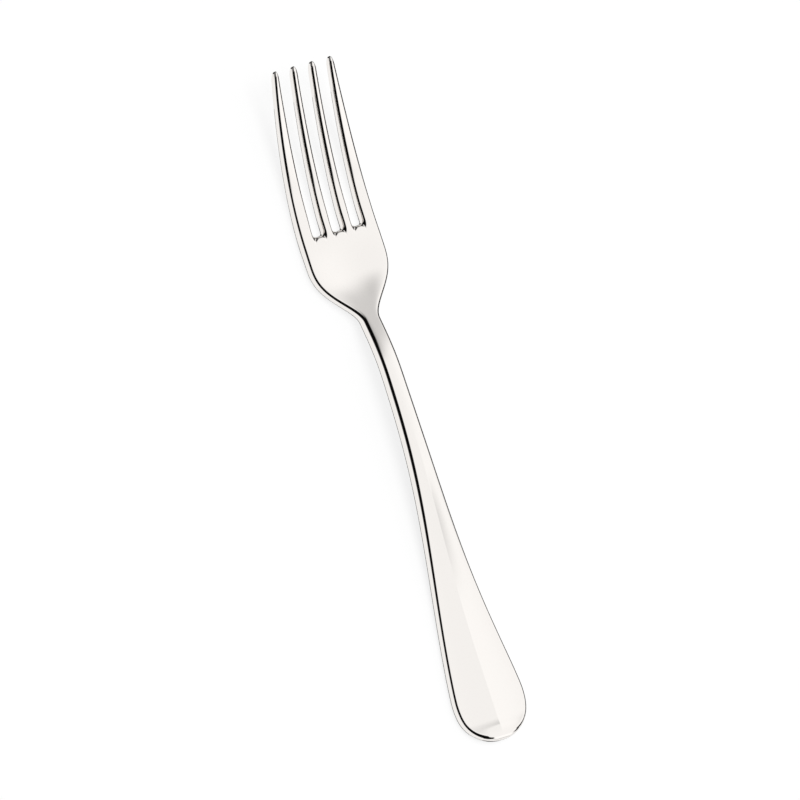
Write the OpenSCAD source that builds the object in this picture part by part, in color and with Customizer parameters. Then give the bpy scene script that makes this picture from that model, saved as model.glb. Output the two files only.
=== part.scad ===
// One-piece table fork, laid face up as it rests on a table.
// X runs across the tines, Y from the handle end to the points, Z up.
// The blank is divided at its natural regions: each tine, the palm, the neck,
// the stem, the handle and its turned-up end. They meet face to face.

/* [Overall] */
// Length from handle end to points
fork_l = 205; // [195:1:215]
// Length from the points back to the narrowest place of the neck
head_l = 77; // [74:0.1:80]
// Height of the points' underside above the table
tip_rise = 10.9; // [6:0.1:14]

/* [Head] */
// Widest place of the head
head_w = 26.7; // [25.5:0.1:28]
// Width over the outer points
points_w = 20.8; // [20:0.1:22]
// Length over which the shoulders widen from neck to head
shoulder_l = 20.6; // [18:0.1:22.5]
// Thickness of the palm
palm_t = 3.6; // [3:0.1:3.9]
// Hollow of the palm's face at its middle
palm_dish = 0.4; // [0.2:0.05:0.7]
// Swell of the palm's back below its edges
palm_swell = 0.3; // [0.1:0.05:0.6]

/* [Tines] */
// Length of a tine from slot bottom to point
tine_l = 49.1; // [46:0.1:53]
// Slot width at the bottom
slot_root_w = 3.8; // [3.4:0.05:4]
// Slot width at the points
slot_tip_w = 4.65; // [4.3:0.05:4.8]
// Width of an inner tine at the slot bottoms
tine_root_w = 3.1; // [2.8:0.05:3.4]
// Width of an inner tine just behind its point
tine_tip_w = 1.85; // [1.6:0.05:2]
// Thickness of a tine just behind its point
tip_t = 2.6; // [2.2:0.1:2.9]
// Length of the rounding that makes the point
tip_round_l = 2.6; // [1.8:0.1:3.4]
// How far a slot's soft bottom runs back into the palm at its corners
root_run = 3; // [2:0.1:4]
// How far it runs back at its middle
root_mid_run = 0.8; // [0.5:0.1:1.4]
// Distance before the slot bottoms at which the tines start to curve up
bend_lead = 3.1; // [1:0.1:5]

/* [Stem] */
// Stem width at the neck
stem_w = 6.1; // [5.2:0.1:6.6]
// Stem thickness at its crest
stem_t = 3.8; // [3.4:0.1:4.4]
// Height of the stem's underside at its crest
stem_rise = 5; // [2:0.05:8]
// Crown of the stem's face at the neck
stem_crown = 0.1; // [0.05:0.01:0.2]
// Length of the slope from the crest down to the palm
neck_slope_l = 39.5; // [34:0.5:41]

/* [Handle] */
// Widest place of the handle
handle_w = 23.8; // [21:0.1:26]
// Thickness of the handle
handle_t = 3.2; // [2.6:0.1:3.6]
// Length of the rounded handle end
handle_round_l = 13.1; // [12.1:0.1:14.5]
// Length of the ridged handle from its end
handle_l = 75; // [68:1:82]
// Height of the ridge along the middle of the face
ridge_h = 0.58; // [0.3:0.02:0.8]
// Height to which the handle end turns up
end_lift = 0.8; // [0.4:0.1:1.6]
// Length of the turned-up end
end_lift_l = 12; // [9:0.5:13]
// Distance from the end at which the handle rests on the table
rest_y = 19; // [14:0.1:24]

/* [Edges] */
// Rounding of the face's edges
edge_r = 0.85; // [0.6:0.05:0.9]
// Rounding of the face's edge at the very end of the handle
end_edge_r = 1.4; // [1:0.05:1.6]
// Rounding of the face's edges from the stem's crest to the neck
stem_edge_r = 1.3; // [0.9:0.05:1.5]
// Rounding of the back's edges
back_r = 1.1; // [0.8:0.05:1.2]
// Rounding of the face's edges at the points
tip_edge_r = 0.55; // [0.4:0.05:0.6]
// Rounding of the back's edges at the points
tip_back_r = 0.75; // [0.5:0.05:0.8]

/* [Hidden] */
steel = [0.93, 0.92, 0.9];

// Places along the length, measured from the handle end
neck_y = fork_l - head_l;
head_y = neck_y + shoulder_l;
root_y = fork_l - tine_l;
crest_y = neck_y - neck_slope_l / 2;
palm_low_y = neck_y + neck_slope_l / 2;
bend_y = root_y - bend_lead;
// Piece borders as shares of the neck's slope, before and after the narrowest place
neck_borders_share = [0.14, 0.3];
neck_start_y = neck_y - neck_slope_l * neck_borders_share[0];
neck_end_y = neck_y + neck_slope_l * neck_borders_share[1];

slot_root_r = slot_root_w / 2;
pitch_root = slot_root_w + tine_root_w;
pitch_tip = slot_tip_w + tine_tip_w;
// Where the ridge rises and fades, as shares of the handle's length
ridge_in_shares = [0.055, 0.11];
ridge_out_shares = [0.9, 1.35];
// Where the hollow of the palm starts and fades, as shares of neck to slot bottom
dish_in_shares = [-0.1, 0.55];
dish_out_shares = [0.62, 1];
// Thickness taken by each soft edge at a slot bottom
root_depth_share = 0.45;
// Length over which a slot's soft bottom becomes a tine's plain edge
root_blend_share = 0.14;
// Power of a slot bottom's curve: 2 is round, more is squarer
slot_power = 3;
// How sharply the run gathers at the corners
run_power = 3;
// Thickness that is left at the very point
point_share = 0.35;
// Widest corner, as a share of half the section's width
corner_share = 0.42;

// Powers of the outline's curves, from the handle end to the points, and of the ridge
end_power = 2.55;
stem_power = 1.3;
stem_fall_power = 3.24;
shoulder_power = 0.7;
head_power = 1.8;
ridge_power = 1.6;
// How soon the tines' curve straightens out
bend_ease = 1.7;

// Angles of the rings round the handle end and of the corners
end_angles = [6, 12, 19, 27, 35, 45, 56, 67, 78, 90];
corner_angles = [30, 60, 90];
soft_angles = [0, 22.5, 45, 67.5, 90];
// Angles of the rings round a slot's bottom, along its soft run and over a point
slot_angles = [3, 15, 30, 50, 70];
run_angles = [20, 40, 60, 75, 90];
tip_angles = [20, 40, 60, 75, 86];
// Steps between the rings of each piece
handle_steps = 16;
stem_steps = 10;
neck_steps = 12;
palm_steps = 9;
tine_steps = 14;
// Places across face and back from the middle to the edge
face_shares = [0, 0.05, 0.13, 0.28, 0.5, 0.75, 1];
groove_shares = [0, 0.35, 0.65, 0.9, 1.1, 1.35];
bisect_steps = 12;
settle_steps = 30;

function lerp(a, b, u) = a + (b - a) * u;
function clamp01(u) = max(0, min(1, u));
function ease(u) = let (v = clamp01(u)) v * v * v * (v * (6 * v - 15) + 10);
function reversed(list) = [for (i = [len(list) - 1 : -1 : 0]) list[i]];
function mirrored(list) = concat([for (i = [len(list) - 1 : -1 : 1]) -list[i]], list);
function between(y, span) = ease((y - span[0]) / (span[1] - span[0]));
function steps(from, to, count) = [for (i = [0 : count]) lerp(from, to, i / count)];

// Half the width of the outline
function half_w(y) =
    y < handle_round_l ? handle_w / 2 * sqrt(1 - pow(1 - y / handle_round_l, end_power))
    : y < neck_y ? lerp(stem_w, handle_w, stem_taper((y - handle_round_l) / (neck_y - handle_round_l))) / 2
    : y < head_y ? lerp(stem_w, head_w, ease(pow((y - neck_y) / shoulder_l, shoulder_power))) / 2
    : lerp(head_w, points_w, pow((y - head_y) / (fork_l - head_y), head_power)) / 2;
function stem_taper(u) = pow(1 - pow(u, stem_power), stem_fall_power);

// Widening of an edge's rounding where the outline runs at a slant
function slant(y) =
    let (low = max(y - edge_r, 0), high = y + edge_r)
    sqrt(1 + pow((half_w(high) - half_w(low)) / (high - low), 2));

// Side view: underside and thickness
function arch(y) = between(y, [rest_y, crest_y]) * (1 - between(y, [crest_y, palm_low_y]));
function bend(u) = let (v = clamp01(u)) v * v * (1 + bend_ease) / (v + bend_ease);
function back_z(y) =
    end_lift * (1 - ease(y / end_lift_l))
    + stem_rise * arch(y)
    + tip_rise * bend((y - bend_y) / (fork_l - bend_y));
function thick(y) =
    handle_t
    + (stem_t - handle_t) * between(y, [rest_y, crest_y])
    - (stem_t - palm_t) * between(y, [crest_y, palm_low_y])
    - (palm_t - tip_t) * clamp01((y - bend_y) / (fork_l - bend_y));
function face_z(y) = back_z(y) + thick(y);

// Rounding of the face's edges: fuller round the handle end and from the stem's crest to the neck
function face_r(y) =
    lerp(end_edge_r, edge_r, between(y, [0, end_lift_l]))
    + (stem_edge_r - edge_r) * between(y, [rest_y, crest_y]) * (1 - between(y, [neck_y, palm_low_y]));

// Rounding of the handle end as seen from the side
function end_drop(y, r) = y < r ? r - sqrt(r * r - (r - y) * (r - y)) : 0;

// Face across its width: s runs from -1 to 1, zero height at both edges
function ridge_line(s) = pow(1 - abs(s), ridge_power);
function crown(y, s) =
    let (round_share = between(y, ridge_out_shares * handle_l),
         ridge = ridge_h * half_w(y) * 2 / handle_w * between(y, ridge_in_shares * handle_l),
         round = stem_crown * half_w(y) * 2 / stem_w,
         gone = between(y, [neck_y, palm_low_y]),
         hollow = palm_dish * palm_bowl(y))
    lerp(ridge * ridge_line(s), round * (1 - s * s), round_share) * (1 - gone)
    - hollow * (1 - s * s) * (1 - s * s);
function palm_bowl(y) =
    let (u = (y - neck_y) / (root_y - neck_y))
    between(u, dish_in_shares) * (1 - between(u, dish_out_shares));

// Slots: centre lines, half width, and the soft edge round them.
// A reach of 0 lies on the slot's wall, 1 where its soft edge begins.
function along(y) = clamp01((y - root_y) / tine_l);
function pitch(y) = lerp(pitch_root, pitch_tip, along(y));
function slot_half(y, reach) =
    let (side = lerp(slot_root_w, slot_tip_w, along(y)) / 2 + reach * tine_edge(y),
         back = root_y + slot_root_r - y)
    back <= 0 ? side : side * slot_share(side, back, reach);
function slot_share(side, back, reach, share = 1, left = settle_steps) =
    left == 0 ? share
    : slot_share(side, back, reach,
        squarish(back / (slot_root_r + reach * slot_run(side * share))), left - 1);
function squarish(u) = pow(1 - pow(min(u, 1), slot_power), 1 / slot_power);
function slot_run(x) = lerp(root_mid_run, root_run, pow(min(abs(x) / slot_root_r, 1), run_power));
function tine_edge(y) = lerp(edge_r, tip_edge_r, along(y));
function tine_back(y) = lerp(back_r, tip_back_r, along(y));
function root_depth(y, r) =
    lerp(root_depth_share * thick(y), r, ease((y - root_y) / (root_blend_share * tine_l)));
function soft(reach) = 1 - sqrt(1 - pow(1 - reach, 2));
function outside(x, back, reach) =
    pow(abs(x) / (slot_root_r + reach * edge_r), slot_power)
    + pow(back / (slot_root_r + reach * slot_run(x)), slot_power) > 1;
function slot_reach(x, back, low = 0, high = 1, left = bisect_steps) =
    let (mid = (low + high) / 2)
    left == 0 ? mid
    : outside(x, back, mid) ? slot_reach(x, back, mid, high, left - 1)
    : slot_reach(x, back, low, mid, left - 1);
function groove(x, y) =
    let (back = root_y + slot_root_r - y)
    back > slot_root_r + root_run ? 0
    : root_depth_share * thick(y)
      * max([for (k = [-1, 0, 1]) soft(slot_reach(x - k * pitch_root, back))]);

// One closed section of handle, stem, neck or palm, with the same places across face and back
function body_ring(y, across) =
    let (w = half_w(y),
         top_x = min(face_r(y) * slant(y), w * corner_share),
         low_x = min(back_r * slant(y), w * corner_share),
         face = face_z(y) - end_drop(y, face_r(y)),
         side_top = face_z(y) - face_r(y),
         swell = palm_swell * palm_bowl(y),
         back = back_z(y) + end_drop(y, back_r),
         side_low = back_z(y) + back_r + swell,
         top_corner = [for (a = corner_angles)
             [w - top_x * (1 - sin(a)), y, lerp(side_top, face, cos(a))]],
         low_corner = [for (a = corner_angles)
             [w - low_x * (1 - sin(a)), y, lerp(side_low, back + swell, cos(a))]])
    concat(
        [for (p = reversed(top_corner)) [-p[0], y, p[2]]],
        [for (s = mirrored(across)) let (x = s * (w - top_x)) [x, y, face + crown(y, s) - groove(x, y)]],
        top_corner,
        reversed(low_corner),
        [for (s = -mirrored(across)) let (x = s * (w - low_x)) [x, y, back + swell * s * s + groove(x, y)]],
        [for (p = low_corner) [-p[0], y, p[2]]]);

// One closed section of a tine: index 0 to 3 from left to right
function tine_side(i, side, y, reach) =
    let (slot = i + (side < 0 ? -1 : 0))
    slot < 0 || slot > 2
        ? side * (half_w(y) - reach * tine_edge(y) * slant(min(y, fork_l - edge_r)))
        : (slot - 1) * pitch(y) - side * slot_half(y, reach);
function tine_depth(i, side, y, r) =
    (i == 0 && side < 0) || (i == 3 && side > 0) ? r : root_depth(y, r);
function tine_corner(i, side, y, level, r) =
    [for (a = soft_angles) [tine_side(i, side, y, 1 - cos(a)),
        level + sign(r) * tine_depth(i, side, y, abs(r)) * (1 - sin(a))]];
function tine_ring(i, y) =
    let (left = tine_side(i, -1, y, 0),
         right = tine_side(i, 1, y, 0),
         mid_x = (left + right) / 2,
         face = face_z(y),
         back = back_z(y),
         mid_z = (face + back) / 2,
         cap = sqrt(1 - pow(1 - clamp01((fork_l - y) / tip_round_l), 2)),
         high = point_share + (1 - point_share) * cap,
         loop = concat(
             tine_corner(i, -1, y, face, -tine_edge(y)),
             [[mid_x, face]],
             reversed(tine_corner(i, 1, y, face, -tine_edge(y))),
             tine_corner(i, 1, y, back, tine_back(y)),
             [[mid_x, back]],
             reversed(tine_corner(i, -1, y, back, tine_back(y)))))
    [for (p = loop) [lerp(mid_x, p[0], cap), y, lerp(mid_z, p[1], high)]];

// Skin over a row of sections with the same even number of points, each started at its left wall.
// The caps are strips from face to back, because a cap in one piece fails where its points are in line.
module loft(rings) {
    n = len(rings[0]);
    last = (len(rings) - 1) * n;
    start_cap = [for (i = [0 : n / 2 - 2]) [i, i + 1, n - 2 - i, n - 1 - i]];
    end_cap = [for (strip = start_cap) [for (p = reversed(strip)) last + p]];
    skin = [for (j = [0 : len(rings) - 2], i = [0 : n - 1])
        let (a = j * n + i, b = j * n + (i + 1) % n) each [[a, a + n, b], [b, a + n, b + n]]];
    translate([0, -fork_l / 2, 0])
        polyhedron(points = [for (r = rings) each r], faces = concat(start_cap, end_cap, skin));
}
module body_part(places, across = face_shares) {
    color(steel) loft([for (y = places) body_ring(y, across)]);
}
module tine(i) {
    tip_y = fork_l - tip_round_l;
    round_y = root_y + slot_root_r;
    color(steel) loft([for (y = concat(
        [for (a = slot_angles) round_y - slot_root_r * cos(a)],
        steps(round_y, tip_y, tine_steps),
        [for (a = tip_angles) tip_y + tip_round_l * sin(a)])) tine_ring(i, y)]);
}

module handle_end() {
    body_part([for (a = end_angles) handle_round_l * (1 - cos(a))]);
}
module handle() {
    body_part(steps(handle_round_l, handle_l, handle_steps));
}
module stem() {
    body_part(steps(handle_l, neck_start_y, stem_steps));
}
module neck() {
    body_part(steps(neck_start_y, neck_end_y, neck_steps));
}
module palm() {
    flat_w = half_w(root_y) - edge_r;
    outer = [for (g = groove_shares) pitch_root + g * slot_root_r];
    inner = [for (i = [len(groove_shares) - 1 : -1 : 1]) pitch_root - groove_shares[i] * slot_root_r];
    middle = [for (g = groove_shares) g * slot_root_r];
    across = concat(middle, inner, outer, [flat_w]) / flat_w;
    body_part(concat(steps(neck_end_y, root_y - root_run, palm_steps),
        [for (a = run_angles) root_y - root_run * (1 - sin(a))]), across);
}
module tine_left_outer() { tine(0); }
module tine_left_inner() { tine(1); }
module tine_right_inner() { tine(2); }
module tine_right_outer() { tine(3); }

handle_end();
handle();
stem();
neck();
palm();
tine_left_outer();
tine_left_inner();
tine_right_inner();
tine_right_outer();
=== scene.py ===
import math

import bpy
import numpy as np
from mathutils import Matrix, Vector


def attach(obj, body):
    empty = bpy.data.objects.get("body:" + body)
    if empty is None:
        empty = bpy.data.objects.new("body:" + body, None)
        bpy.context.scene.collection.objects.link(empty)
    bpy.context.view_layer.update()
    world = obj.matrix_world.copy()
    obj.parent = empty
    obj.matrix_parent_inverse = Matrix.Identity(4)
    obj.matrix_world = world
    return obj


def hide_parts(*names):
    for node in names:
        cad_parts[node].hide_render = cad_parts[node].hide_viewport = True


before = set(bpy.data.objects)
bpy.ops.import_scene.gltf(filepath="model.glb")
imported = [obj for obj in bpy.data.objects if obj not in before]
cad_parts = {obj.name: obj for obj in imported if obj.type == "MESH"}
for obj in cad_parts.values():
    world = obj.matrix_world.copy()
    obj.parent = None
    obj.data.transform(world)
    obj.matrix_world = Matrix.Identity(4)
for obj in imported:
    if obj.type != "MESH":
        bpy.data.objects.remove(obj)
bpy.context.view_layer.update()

mm = 0.001

# The fork lies face up: x across the tines, y from the handle end to the points, z up.
# Places along it are measured from the handle end, in metres, as the CAD part does.

blank = {
    "length": 205 * mm,
    "headLength": 77 * mm,        # points back to the narrowest place of the neck
    "faceEdge": 0.85 * mm,        # rounding of the face's edges
    "backEdge": 1.1 * mm,
    "edgeSteps": 10,
    "widestCornerShare": 0.42,    # the most of the half width that an edge's rounding takes
    "slopeHair": 0.01 * mm,       # how far each way a slope along the fork is taken
    "slopeHairShare": 0.4,        # the most of the way to either end that it takes
}
neckAt = blank["length"] - blank["headLength"]

handle = {
    "width": 23.8 * mm,
    "thickness": 3.2 * mm,
    "roundLength": 13.1 * mm,     # the rounded end
    "ridgedLength": 75 * mm,
    "ridgeHeight": 0.58 * mm,
    "ridgePower": 1.6,            # above 1 the flanks are hollow
    "ridgeInShares": (0.02, 0.065),    # of the ridged length
    "ridgeOutShares": (0.9, 1.35),
    "endLift": 0.84 * mm,         # the end turns up a little
    "endLiftLength": 8.6 * mm,
    "restAt": 19 * mm,            # where the back leaves the table
    "endPower": 2.55,             # 2 makes an elliptic end, more a squarer one
    "endEdge": 1.6 * mm,          # rounding of the face's edge at the very end
    "columns": 50,
    "columnGather": 1.5,          # above 1 the columns gather at the ridge
    "rings": 110,
    "endRings": 40,
    "firstTurn": 5,               # degrees round the end at its first section
}

stem = {
    "width": 6.1 * mm,
    "thickness": 3.8 * mm,
    "rise": 5 * mm,               # underside at the crest of the arch
    "crown": 0.07 * mm,           # at the neck
    "edge": 1.3 * mm,             # rounding of the face's edges from crest to neck
    "slopeLength": 39.5 * mm,     # from the crest down to the palm
    "taperPower": 1.3,
    "taperFallPower": 3.24,
    "columns": 30,
    "rings": 80,
}
crestAt = neckAt - stem["slopeLength"] / 2
palmLowAt = neckAt + stem["slopeLength"] / 2

neck = {
    "startShare": 0.14,           # borders, as shares of the slope before and after the neck
    "endShare": 0.3,
    "columns": 40,
    "rings": 50,
}
neckStart = neckAt - stem["slopeLength"] * neck["startShare"]
neckEnd = neckAt + stem["slopeLength"] * neck["endShare"]

palm = {
    "width": 26.7 * mm,
    "thickness": 3.6 * mm,
    "shoulderLength": 20.6 * mm,
    "shoulderPower": 0.7,
    "dish": 0.4 * mm,
    "swell": 0.3 * mm,            # of the back below its edges
    "dishInShares": (-0.1, 0.55),
    "dishOutShares": (0.62, 1.0),
    "columns": 150,
    "rings": 40,
    "softRings": 16,
}
shoulderEnd = neckAt + palm["shoulderLength"]

tines = {
    "length": 49.1 * mm,
    "rise": 10.9 * mm,            # underside of the points above the table
    "pointsWidth": 20.8 * mm,     # over the outer points
    "slotAtRoot": 3.8 * mm,
    "slotAtPoint": 4.65 * mm,
    "tineAtRoot": 3.1 * mm,
    "tineAtPoint": 1.85 * mm,
    "pointThickness": 2.6 * mm,
    "pointRounding": 2.6 * mm,
    "pointShare": 0.35,           # thickness left at the very point
    "softRun": 3 * mm,            # of a slot's soft bottom into the palm, at its corners
    "softRunMiddle": 0.8 * mm,    # and at its middle
    "softRunPower": 3,
    "slotPower": 3,               # 2 makes a round slot bottom, more a squarer one
    "softDepthShare": 0.45,       # of the thickness
    "softBlendShare": 0.14,       # of the tine, until its slot edges are as its other edges
    "bendLead": 3.1 * mm,         # the tines' curve starts this far before the slots
    "bendEase": 1.7,
    "taperPower": 1.8,
    "faceEdge": 0.68 * mm,        # at the points
    "backEdge": 0.75 * mm,
    "edgeSteps": 10,
    "flatSteps": 4,
    "settleSteps": 40,            # rounds until a slot's half width has settled
    "halvings": 30,               # rounds to find where a place lies in the soft edge
    "rings": 90,
    "endRings": 14,
    "rootTurns": (0, 3, 8, 14, 22, 31, 42, 55, 70),    # degrees round the slot bottom
    "lastTurn": 87,               # degrees round the point at its last section
}
rootAt = blank["length"] - tines["length"]
bendAt = rootAt - tines["bendLead"]
slotRadius = tines["slotAtRoot"] / 2
pitchAtRoot = tines["slotAtRoot"] + tines["tineAtRoot"]
pitchAtPoint = tines["slotAtPoint"] + tines["tineAtPoint"]
tineNames = (
    ("tine_left_outer", "forkTineLeftOuter"),
    ("tine_left_inner", "forkTineLeftInner"),
    ("tine_right_inner", "forkTineRightInner"),
    ("tine_right_outer", "forkTineRightOuter"),
)
slotCount = len(tineNames) - 1


def lerp(a, b, u):
    return a + (b - a) * u


def clamp01(u):
    return np.clip(u, 0, 1)


def ease(u):
    v = clamp01(u)
    return v ** 3 * (v * (6 * v - 15) + 10)


def between(y, start, end):
    return ease((y - start) / (end - start))


def halfWidth(y):
    # handle end, taper to the neck, shoulders, then the head to the points
    if y < handle["roundLength"]:
        toGo = 1 - y / handle["roundLength"]
        return handle["width"] / 2 * math.sqrt(1 - toGo ** handle["endPower"])
    if y < neckAt:
        u = (y - handle["roundLength"]) / (neckAt - handle["roundLength"])
        taper = (1 - u ** stem["taperPower"]) ** stem["taperFallPower"]
        return lerp(stem["width"], handle["width"], taper) / 2
    if y < shoulderEnd:
        u = (y - neckAt) / palm["shoulderLength"]
        return lerp(stem["width"], palm["width"], ease(u ** palm["shoulderPower"])) / 2
    u = (y - shoulderEnd) / (blank["length"] - shoulderEnd)
    return lerp(palm["width"], tines["pointsWidth"], u ** tines["taperPower"]) / 2


def slant(y):
    # an edge's rounding is wider across where the outline runs at a slant
    low, high = max(y - blank["faceEdge"], 0), y + blank["faceEdge"]
    return math.hypot(1, (halfWidth(high) - halfWidth(low)) / (high - low))


def arch(y):
    return between(y, handle["restAt"], crestAt) * (1 - between(y, crestAt, palmLowAt))


def faceEdge(y):
    # fuller round the handle end and along the arched stem
    endShare = 1 - between(y, 0, handle["endLiftLength"])
    stemShare = between(y, handle["restAt"], crestAt) * (1 - between(y, neckAt, palmLowAt))
    return blank["faceEdge"] + (handle["endEdge"] - blank["faceEdge"]) * endShare \
        + (stem["edge"] - blank["faceEdge"]) * stemShare


def backHeight(y):
    v = clamp01((y - bendAt) / (blank["length"] - bendAt))
    curl = v * v * (1 + tines["bendEase"]) / (v + tines["bendEase"])
    lift = 1 - ease(y / handle["endLiftLength"])
    return handle["endLift"] * lift + stem["rise"] * arch(y) + tines["rise"] * curl


def thickness(y):
    thick = lerp(handle["thickness"], stem["thickness"], between(y, handle["restAt"], crestAt))
    thick -= (stem["thickness"] - palm["thickness"]) * between(y, crestAt, palmLowAt)
    thinner = clamp01((y - bendAt) / (blank["length"] - bendAt))
    return thick - (palm["thickness"] - tines["pointThickness"]) * thinner


def palmBowl(y):
    u = (y - neckAt) / (rootAt - neckAt)
    return between(u, *palm["dishInShares"]) * (1 - between(u, *palm["dishOutShares"]))


def crown(y, s):
    # what stands above the face's edges: the handle's ridge, the stem's crown, the palm's hollow
    ridgeIn, ridgeOut = ([share * handle["ridgedLength"] for share in handle[key]]
                         for key in ("ridgeInShares", "ridgeOutShares"))
    ridge = handle["ridgeHeight"] * halfWidth(y) * 2 / handle["width"] * between(y, *ridgeIn)
    rounded = between(y, *ridgeOut)
    swelling = stem["crown"] * halfWidth(y) * 2 / stem["width"]
    gone = between(y, neckAt, palmLowAt)
    top = lerp(ridge * (1 - np.abs(s)) ** handle["ridgePower"], swelling * (1 - s * s), rounded)
    return top * (1 - gone) - palm["dish"] * palmBowl(y) * (1 - s * s) ** 2


def endDrop(y, radius):
    # the handle end is rounded as seen from the side too
    return radius - math.sqrt(radius ** 2 - (radius - y) ** 2) if y < radius else 0.0


# A slot's reach is 0 on its wall and 1 where its soft edge begins.

def alongTine(y):
    return float(clamp01((y - rootAt) / tines["length"]))


def tineEdge(y, side="faceEdge"):
    return lerp(blank[side], tines[side], alongTine(y))


def slotPitch(y):
    return lerp(pitchAtRoot, pitchAtPoint, alongTine(y))


def slotMiddle(slot, y):
    # slots are counted from 0, from left to right
    return (slot - 1) * slotPitch(y)


def slotRun(x):
    # a soft slot bottom runs further back at the slot's corners than at its middle
    gather = np.minimum(np.abs(x) / slotRadius, 1) ** tines["softRunPower"]
    return lerp(tines["softRunMiddle"], tines["softRun"], gather)


def slotHalf(y, reach):
    side = lerp(tines["slotAtRoot"], tines["slotAtPoint"], alongTine(y)) / 2 + reach * tineEdge(y)
    behind = rootAt + slotRadius - y
    if behind <= 0:
        return side
    share, power = 1.0, tines["slotPower"]
    for _ in range(tines["settleSteps"]):
        endLength = slotRadius + reach * slotRun(side * share)
        share = np.maximum(1 - (behind / endLength) ** power, 0) ** (1 / power)
    return side * share


def softEdge(reach):
    return 1 - np.sqrt(1 - (1 - reach) ** 2)


def groove(x, y):
    # how deep the slots' soft bottoms cut into face and back of the palm
    behind = rootAt + slotRadius - y
    if behind > slotRadius + tines["softRun"]:
        return np.zeros_like(x)
    deepest = np.zeros_like(x)
    power = tines["slotPower"]
    for slot in range(slotCount):
        across = np.abs(x - slotMiddle(slot, rootAt))
        run = slotRun(across)
        low, high = np.zeros_like(x), np.ones_like(x)
        for _ in range(tines["halvings"]):
            middle = (low + high) / 2
            outside = (across / (slotRadius + middle * blank["faceEdge"])) ** power \
                + (behind / (slotRadius + middle * run)) ** power > 1
            low, high = np.where(outside, middle, low), np.where(outside, high, middle)
        deepest = np.maximum(deepest, softEdge(low))
    return tines["softDepthShare"] * thickness(y) * deepest


def sectionLoop(xs, y, zs):
    return np.column_stack([xs, np.full(len(xs), y - blank["length"] / 2), zs])


def blankSection(y, across):
    # closed section, from the left wall over the face, down the right wall and back under
    w = halfWidth(y)
    edge = faceEdge(y)
    faceCorner = min(edge * slant(y), w * blank["widestCornerShare"])
    backCorner = min(blank["backEdge"] * slant(y), w * blank["widestCornerShare"])
    back, face = backHeight(y), backHeight(y) + thickness(y)
    swell = palm["swell"] * palmBowl(y)
    turn = np.linspace(0, math.pi / 2, blank["edgeSteps"] + 1)[1:]
    faceLevel = face - endDrop(y, edge)
    backLevel = back + endDrop(y, blank["backEdge"])
    faceX = w - faceCorner * (1 - np.sin(turn))
    faceZ = lerp(face - edge, faceLevel, np.cos(turn))
    backX = w - backCorner * (1 - np.sin(turn))
    backZ = lerp(back + blank["backEdge"] + swell, backLevel + swell, np.cos(turn))
    topX, lowX = across * (w - faceCorner), across * (w - backCorner)
    topZ = faceLevel + crown(y, across) - groove(topX, y)
    lowZ = backLevel + swell * across ** 2 + groove(lowX, y)
    return sectionLoop(
        np.concatenate([-faceX[::-1], topX, faceX, backX[::-1], lowX[::-1], -backX]), y,
        np.concatenate([faceZ[::-1], topZ, faceZ, backZ[::-1], lowZ[::-1], backZ]))


def tineSection(index, y):
    # index 0 to 3 from left to right; the outer tines have the blank's own edge on one side
    turn = np.linspace(0, math.pi / 2, tines["edgeSteps"] + 1)
    reach = 1 - np.cos(turn)
    back, face = backHeight(y), backHeight(y) + thickness(y)
    blend = ease((y - rootAt) / (tines["softBlendShare"] * tines["length"]))

    def sideX(side):
        slot = index - 1 if side < 0 else index
        if slot not in range(slotCount):
            slanted = slant(min(y, blank["length"] - blank["faceEdge"]))
            return side * (halfWidth(y) - reach * tineEdge(y) * slanted)
        return slotMiddle(slot, y) - side * slotHalf(y, reach)

    def sideDrop(side, edge):
        outer = (index == 0 and side < 0) or (index == slotCount and side > 0)
        radius = tineEdge(y, edge)
        return radius if outer else lerp(tines["softDepthShare"] * thickness(y), radius, blend)

    left, right = sideX(-1), sideX(1)
    flat = np.linspace(0, 1, tines["flatSteps"] + 1)[1:-1]
    top = lerp(left[-1], right[-1], flat)
    xs = np.concatenate([left, top, right[::-1], right, top[::-1], left[::-1]])
    fall = 1 - np.sin(turn)
    zs = np.concatenate([
        face - fall * sideDrop(-1, "faceEdge"), np.full(len(flat), face),
        (face - fall * sideDrop(1, "faceEdge"))[::-1],
        back + fall * sideDrop(1, "backEdge"), np.full(len(flat), back),
        (back + fall * sideDrop(-1, "backEdge"))[::-1]])
    near = clamp01((blank["length"] - y) / tines["pointRounding"])
    cap = math.sqrt(1 - (1 - near) ** 2)
    middleX, middleZ = (left[0] + right[0]) / 2, (face + back) / 2
    return sectionLoop(lerp(middleX, xs, cap), y,
                       lerp(middleZ, zs, tines["pointShare"] + (1 - tines["pointShare"]) * cap))


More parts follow.
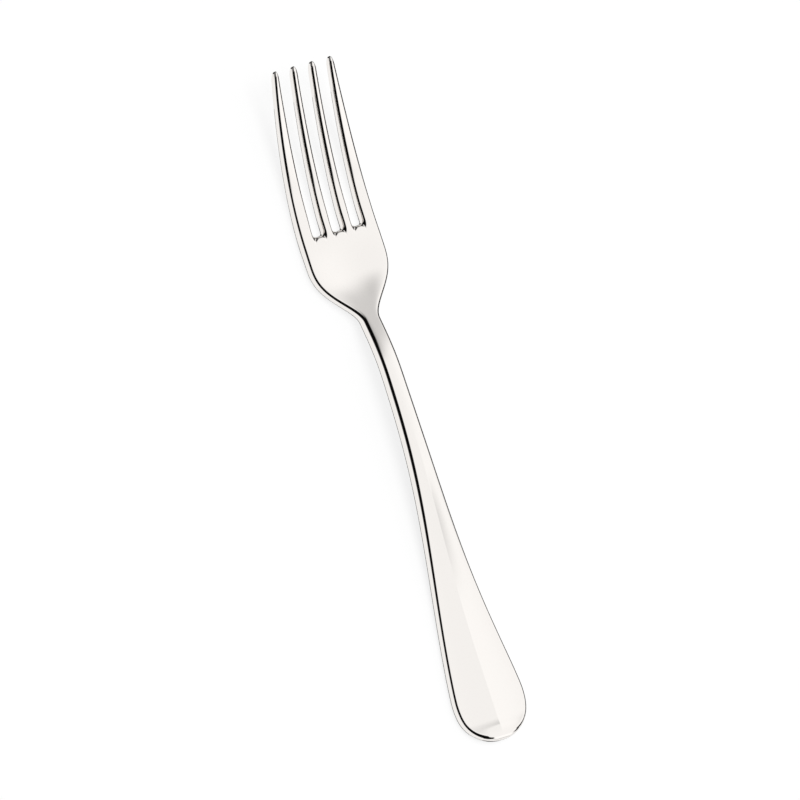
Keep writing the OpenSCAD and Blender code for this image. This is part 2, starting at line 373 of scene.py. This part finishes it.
def loftPiece(name, places, section):
    # a closed skin over the sections, with strips from face to back as its end caps
    rings = [section(y) for y in places]
    count, last = len(rings[0]), (len(rings) - 1) * len(rings[0])
    points = np.vstack(rings)
    normals = []
    leastLength = 1e-30    # so that nothing is divided by zero
    for y, ring in zip(places, rings):
        # the slope along the fork is taken over a hair's breadth, within the fork's ends
        hair = min(blank["slopeHair"], blank["slopeHairShare"] * y,
                   blank["slopeHairShare"] * (blank["length"] - y))
        low = y if y - hair < places[0] and places[0] == rootAt else y - hair
        high = y if y + hair > places[-1] and places[-1] == rootAt else y + hair
        lengthwise = section(high) - section(low)
        crosswise = np.roll(ring, -1, axis=0) - np.roll(ring, 1, axis=0)
        facing = np.cross(lengthwise, crosswise)
        length = np.linalg.norm(facing, axis=1, keepdims=True)
        normals.append(facing / np.maximum(length, leastLength))
    normals = np.vstack(normals)
    cap = [(i, i + 1, count - 2 - i, count - 1 - i) for i in range(count // 2 - 1)]
    faces = list(cap) + [tuple(last + p for p in reversed(strip)) for strip in cap]
    for j in range(len(rings) - 1):
        for i in range(count):
            point, beside = j * count + i, j * count + (i + 1) % count
            faces.append((point, point + count, beside + count, beside))
    mesh = bpy.data.meshes.new(name)
    mesh.from_pydata(points.tolist(), [], faces)
    mesh.polygons.foreach_set("use_smooth", [k >= 2 * len(cap) for k in range(len(faces))])
    mesh.update()
    loopNormals = []
    for polygon in mesh.polygons:
        flat = tuple(polygon.normal)
        for vertex in polygon.vertices:
            loopNormals.append(tuple(normals[vertex]) if polygon.use_smooth else flat)
    mesh.normals_split_custom_set(loopNormals)
    piece = bpy.data.objects.new(name, mesh)
    bpy.context.scene.collection.objects.link(piece)
    return piece


def acrossEven(columns, gather=1.0):
    # places from edge to edge, closer together at the middle where gather is above 1
    s = np.linspace(-1, 1, columns + 1)
    return np.sign(s) * np.abs(s) ** gather


def makeFork():
    print("fork: sections and skins")
    bodyAcross = acrossEven(handle["columns"], handle["columnGather"])
    endTurn = np.radians(np.linspace(handle["firstTurn"], 90, handle["endRings"]))
    handlePlaces = np.linspace(handle["roundLength"], handle["ridgedLength"], handle["rings"])
    pieces = {
        "handle_end": loftPiece("forkHandleEnd", handle["roundLength"] * (1 - np.cos(endTurn)),
                                lambda y: blankSection(y, bodyAcross)),
        "handle": loftPiece("forkHandle", handlePlaces,
                            lambda y: blankSection(y, bodyAcross)),
        "stem": loftPiece("forkStem", np.linspace(handle["ridgedLength"], neckStart, stem["rings"]),
                          lambda y: blankSection(y, acrossEven(stem["columns"]))),
        "neck": loftPiece("forkNeck", np.linspace(neckStart, neckEnd, neck["rings"]),
                          lambda y: blankSection(y, acrossEven(neck["columns"]))),
    }
    softTurn = np.linspace(0, math.pi / 2, palm["softRings"] + 1)[1:]
    palmPlaces = np.concatenate([
        np.linspace(neckEnd, rootAt - tines["softRun"], palm["rings"]),
        rootAt - tines["softRun"] * (1 - np.sin(softTurn))])
    palmPlaces[-1] = rootAt
    pieces["palm"] = loftPiece("forkPalm", palmPlaces,
                               lambda y: blankSection(y, acrossEven(palm["columns"])))
    rootTurn = np.radians(tines["rootTurns"])
    tipTurn = np.radians(np.linspace(0, tines["lastTurn"], tines["endRings"]))[1:]
    tipAt = blank["length"] - tines["pointRounding"]
    tinePlaces = np.concatenate([
        rootAt + slotRadius * (1 - np.cos(rootTurn)),
        np.linspace(rootAt + slotRadius, tipAt, tines["rings"]),
        tipAt + tines["pointRounding"] * np.sin(tipTurn)])
    tinePlaces[0] = rootAt
    for index, (node, name) in enumerate(tineNames):
        pieces[node] = loftPiece(name, tinePlaces, lambda y, index=index: tineSection(index, y))
    for node, piece in pieces.items():
        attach(piece, "root")
        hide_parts(node)
    return pieces


steelLook = {
    "color": (0.905, 0.875, 0.845, 1),
    "edgeTint": (0.8, 0.8, 0.8, 1),    # of light that grazes the steel
    "roughness": 0.07,
    "roughnessSpread": 0.03,
    "lineScale": 2500,            # polishing lines, per metre
    "lineStretch": 0.06,          # of that scale along the fork, so the lines are long
    "lineDetail": 3,
    "lineDepth": 0.02,
    "lineHeight": 0.02 * mm,
}


def makeSteel():
    print("steel: polished, with faint polishing lines")
    material = bpy.data.materials.new("polishedSteel")
    material.use_nodes = True
    nodes, links = material.node_tree.nodes, material.node_tree.links
    shader = nodes["Principled BSDF"]
    shader.inputs["Base Color"].default_value = steelLook["color"]
    shader.inputs["Metallic"].default_value = 1
    shader.inputs["Specular Tint"].default_value = steelLook["edgeTint"]
    place = nodes.new("ShaderNodeTexCoord")
    stretch = nodes.new("ShaderNodeMapping")
    stretch.inputs["Scale"].default_value = (1, steelLook["lineStretch"], 1)
    lines = nodes.new("ShaderNodeTexNoise")
    lines.inputs["Scale"].default_value = steelLook["lineScale"]
    lines.inputs["Detail"].default_value = steelLook["lineDetail"]
    halfSpread = steelLook["roughnessSpread"] / 2
    spread = nodes.new("ShaderNodeMapRange")
    spread.inputs["To Min"].default_value = steelLook["roughness"] - halfSpread
    spread.inputs["To Max"].default_value = steelLook["roughness"] + halfSpread
    bump = nodes.new("ShaderNodeBump")
    bump.inputs["Strength"].default_value = steelLook["lineDepth"]
    bump.inputs["Distance"].default_value = steelLook["lineHeight"]
    links.new(place.outputs["Object"], stretch.inputs["Vector"])
    links.new(stretch.outputs["Vector"], lines.inputs["Vector"])
    links.new(lines.outputs["Fac"], spread.inputs["Value"])
    links.new(spread.outputs["Result"], shader.inputs["Roughness"])
    links.new(lines.outputs["Fac"], bump.inputs["Height"])
    links.new(bump.outputs["Normal"], shader.inputs["Normal"])
    return material


photoView = {
    "turn": 31.0,                 # degrees from straight above towards the fork's left
    "lean": -2.6,
    "roll": -17.95,
    "frameWidth": 233.1 * mm,
    "aimRight": 2.91 * mm,        # from the frame's origin to the picture's middle
    "aimUp": 1.985 * mm,
    "lens": 1000,
    "nearShare": 0.01,            # what is seen lies between these shares of the distance
    "farShare": 100,
}


def makeCamera():
    print("camera: at the photograph's view")
    turn, lean, roll = (math.radians(photoView[key]) for key in ("turn", "lean", "roll"))
    away = Vector((-math.sin(turn) * math.cos(lean), math.sin(lean), math.cos(turn) * math.cos(lean)))
    up = (Vector((0, 1, 0)) - away * away.y).normalized()
    right = up.cross(away)
    across = math.cos(roll) * right + math.sin(roll) * up
    upward = math.cos(roll) * up - math.sin(roll) * right
    data = bpy.data.cameras.new("photoCamera")
    data.lens = photoView["lens"]
    distance = photoView["frameWidth"] * data.lens / data.sensor_width
    data.clip_start = distance * photoView["nearShare"]
    data.clip_end = distance * photoView["farShare"]
    camera = bpy.data.objects.new("photoCamera", data)
    bpy.context.scene.collection.objects.link(camera)
    aim = across * photoView["aimRight"] + upward * photoView["aimUp"]
    camera.matrix_world = Matrix.Translation(aim + away * distance) \
        @ Matrix((across, upward, away)).transposed().to_4x4()
    bpy.context.scene.camera = camera


studio = {
    "floorSize": 20,              # metres
    "floorColor": (0.88, 0.88, 0.88, 1),
    "whiteToCamera": 0.85,        # shares of plain white that the floor shows
    "whiteInSteel": 1.0,
    "sunStrength": 2.9,
    "sunSpread": 45,              # degrees, for a soft shadow
    "dome": 0.68,                 # light of the sky outside its zones
    "skyColor": (1, 1, 1, 1),
    "cardHeight": 0.4 * mm,
    # black of the flag cards, and of the painted contact shadow under the fork
    "flagAndShadeColor": (0.01, 0.01, 0.01, 1),
    "cardRoughness": 0.9,
}

# What surrounds the fork, as zones of the sky. Side is the angle from straight up towards
# the fork's left, lean the angle towards its points, both in degrees. Each zone comes in
# between the first two angles and goes out between the last two, over the zones before it.
skyZones = (
    {"name": "darkCeiling", "side": (-32, -10, 72, 92), "lean": (-95, -90, 90, 95), "light": 0.003},
    {"name": "tineCeiling", "side": (-31, -25, 72, 92), "lean": (-95, -90, -16, -10), "light": 0.003},
    {"name": "neckGlow", "side": (-74, -58, -56, -42), "lean": (8, 16, 40, 60), "light": 0.95},
    {"name": "softBoxStep", "side": (-60, -50, -8, 8), "lean": (-15, -10, 9, 25), "light": 1.0},
    {"name": "softBox", "side": (-74, -58, -42, -24), "lean": (-62, -50, 12, 27), "light": 1.08},
    {"name": "tineBox", "side": (-74, -58, -34, -27), "lean": (-62, -50, -15, -8), "light": 1.12},
    {"name": "rightFlag", "side": (-130, -110, -70, -54), "lean": (-34, -24, 90, 95), "light": 0.01},
    {"name": "tineFlag", "side": (-130, -110, -48, -36), "lean": (-34, -26, -14, -3), "light": 0.01},
    {"name": "farFlag", "side": (-190, -185, 185, 190), "lean": (46, 60, 91, 95), "light": 0.01},
)


# Black cards on the floor, seen in the steel only, as x and y from and to: one to the
# fork's right and one beyond its points.
cards = {
    "rightCard": ((15 * mm, 150 * mm), (-100 * mm, 200 * mm)),
    "farCard": ((-80 * mm, 80 * mm), (108 * mm, 260 * mm)),
}

# More lie under the fork as painted shade: black sheets that stand in for the contact shadow
# between it and the table, one under the blank and a narrow one under each tine's left wall.
# They reach past the outline by a share of the height at which the back's edge stands over them.
contactShadeCards = {
    "reachShare": 0.42,
    "height": 0.02 * mm,
    "places": 80,
    "firstPlace": 0.3 * mm,       # where the width of the first row of the blank's shade card is taken
    "underTine": 0.3 * mm,        # how far a narrow one lies under its tine
    "tineShadeCardsEnd": 196 * mm,
}


def rampNode(tree, source, start, end):
    node = tree.nodes.new("ShaderNodeMapRange")
    node.interpolation_type = "SMOOTHSTEP"
    node.inputs["From Min"].default_value = start
    node.inputs["From Max"].default_value = end
    tree.links.new(source, node.inputs["Value"])
    return node.outputs["Result"]


def mathNode(tree, operation, *sources):
    node = tree.nodes.new("ShaderNodeMath")
    node.operation = operation
    for slot, source in zip(node.inputs, sources):
        if isinstance(source, (int, float)):
            slot.default_value = source
        else:
            tree.links.new(source, slot)
    return node.outputs[0]


def makeFloor():
    half = studio["floorSize"] / 2
    corners = [(-half, -half, 0), (half, -half, 0), (half, half, 0), (-half, half, 0)]
    mesh = bpy.data.meshes.new("floor")
    mesh.from_pydata(corners, [], [(0, 1, 2, 3)])
    floor = bpy.data.objects.new("floor", mesh)
    bpy.context.scene.collection.objects.link(floor)
    paper = bpy.data.materials.new("palePaper")
    paper.use_nodes = True
    tree = paper.node_tree
    tree.nodes.remove(tree.nodes["Principled BSDF"])
    lit = tree.nodes.new("ShaderNodeBsdfDiffuse")
    lit.inputs["Color"].default_value = studio["floorColor"]
    white = tree.nodes.new("ShaderNodeEmission")
    path = tree.nodes.new("ShaderNodeLightPath")
    mix = tree.nodes.new("ShaderNodeMixShader")
    inSteel = mathNode(tree, "MULTIPLY", path.outputs["Is Glossy Ray"], studio["whiteInSteel"])
    share = mathNode(tree, "MULTIPLY_ADD", path.outputs["Is Camera Ray"],
                     studio["whiteToCamera"], inSteel)
    tree.links.new(share, mix.inputs[0])
    tree.links.new(lit.outputs[0], mix.inputs[1])
    tree.links.new(white.outputs[0], mix.inputs[2])
    tree.links.new(mix.outputs[0], tree.nodes["Material Output"].inputs[0])
    mesh.materials.append(paper)


# one black for the flag cards and for the painted contact shadow under the fork
def makeFlagAndShadeBlack():
    black = bpy.data.materials.new("blackFlagAndShade")
    black.use_nodes = True
    shader = black.node_tree.nodes["Principled BSDF"]
    shader.inputs["Base Color"].default_value = studio["flagAndShadeColor"]
    shader.inputs["Roughness"].default_value = studio["cardRoughness"]
    return black


def makeCard(name, points, black):
    # points go in pairs, left and right, along the card
    mesh = bpy.data.meshes.new(name)
    strips = [(k, k + 1, k + 3, k + 2) for k in range(0, len(points) - 2, 2)]
    mesh.from_pydata(points, [], strips)
    card = bpy.data.objects.new(name, mesh)
    bpy.context.scene.collection.objects.link(card)
    mesh.materials.append(black)
    card.visible_camera = card.visible_diffuse = card.visible_shadow = False
    card.visible_transmission = False


# painted contact shadow: black sheets under the blank and the tines, seen in the steel only
def makeContactShadeCards(black):
    def row(y, left, right):
        return [(x, y - blank["length"] / 2, contactShadeCards["height"]) for x in (left, right)]

    points = []
    for y in np.linspace(0, rootAt, contactShadeCards["places"]):
        past = contactShadeCards["reachShare"] * (backHeight(y) + blank["backEdge"])
        reach = halfWidth(max(y, contactShadeCards["firstPlace"])) + past
        points += row(y if y > 0 else -past, -reach, reach)
    makeCard("blankShadeCard", points, black)
    for index in range(len(tineNames)):
        points = []
        for y in np.linspace(rootAt, contactShadeCards["tineShadeCardsEnd"], contactShadeCards["places"]):
            past = contactShadeCards["reachShare"] * (backHeight(y) + tines["backEdge"])
            wall = slotMiddle(index - 1, y) + slotHalf(y, 0) if index else -halfWidth(y)
            points += row(y, wall - past, wall + contactShadeCards["underTine"])
        makeCard("tineShadeCard_" + str(index), points, black)


def makeSky():
    world = bpy.data.worlds.new("studioSky")
    bpy.context.scene.world = world
    world.use_nodes = True
    tree = world.node_tree
    place = tree.nodes.new("ShaderNodeTexCoord")
    parts = tree.nodes.new("ShaderNodeSeparateXYZ")
    tree.links.new(place.outputs["Generated"], parts.inputs[0])
    left = mathNode(tree, "MULTIPLY", parts.outputs["X"], -1)
    degree = 180 / math.pi
    side = mathNode(tree, "MULTIPLY", mathNode(tree, "ARCTAN2", left, parts.outputs["Z"]), degree)
    lean = mathNode(tree, "MULTIPLY", mathNode(tree, "ARCSINE", parts.outputs["Y"]), degree)
    light = studio["dome"]
    for zone in skyZones:
        inside = 1
        for angle, spans in ((side, zone["side"]), (lean, zone["lean"])):
            inside = mathNode(tree, "MULTIPLY", inside, rampNode(tree, angle, spans[0], spans[1]))
            inside = mathNode(tree, "MULTIPLY", inside, rampNode(tree, angle, spans[3], spans[2]))
        rest = mathNode(tree, "MULTIPLY", mathNode(tree, "SUBTRACT", 1, inside), light)
        light = mathNode(tree, "MULTIPLY_ADD", inside, zone["light"], rest)
    path = tree.nodes.new("ShaderNodeLightPath")
    seen = path.outputs["Is Camera Ray"]
    unseen = mathNode(tree, "SUBTRACT", 1, seen)
    light = mathNode(tree, "ADD", mathNode(tree, "MULTIPLY", light, unseen), seen)
    tree.links.new(light, tree.nodes["Background"].inputs["Strength"])
    tree.nodes["Background"].inputs["Color"].default_value = studio["skyColor"]


def makeStudio():
    print("studio: pale floor, softboxes and a dark ceiling")
    makeFloor()
    black = makeFlagAndShadeBlack()
    for name, (spanX, spanY) in cards.items():
        makeCard(name, [(x, y, studio["cardHeight"]) for y in spanY for x in spanX], black)
    makeContactShadeCards(black)
    makeSky()
    data = bpy.data.lights.new("overhead", "SUN")
    data.energy = studio["sunStrength"]
    data.angle = math.radians(studio["sunSpread"])
    lamp = bpy.data.objects.new("overhead", data)
    lamp.visible_glossy = False
    bpy.context.scene.collection.objects.link(lamp)


makeCamera()
forkPieces = makeFork()
steel = makeSteel()
for piece in forkPieces.values():
    piece.data.materials.append(steel)
makeStudio()
bpy.context.scene.view_settings.view_transform = "Standard"

print("fork: done")
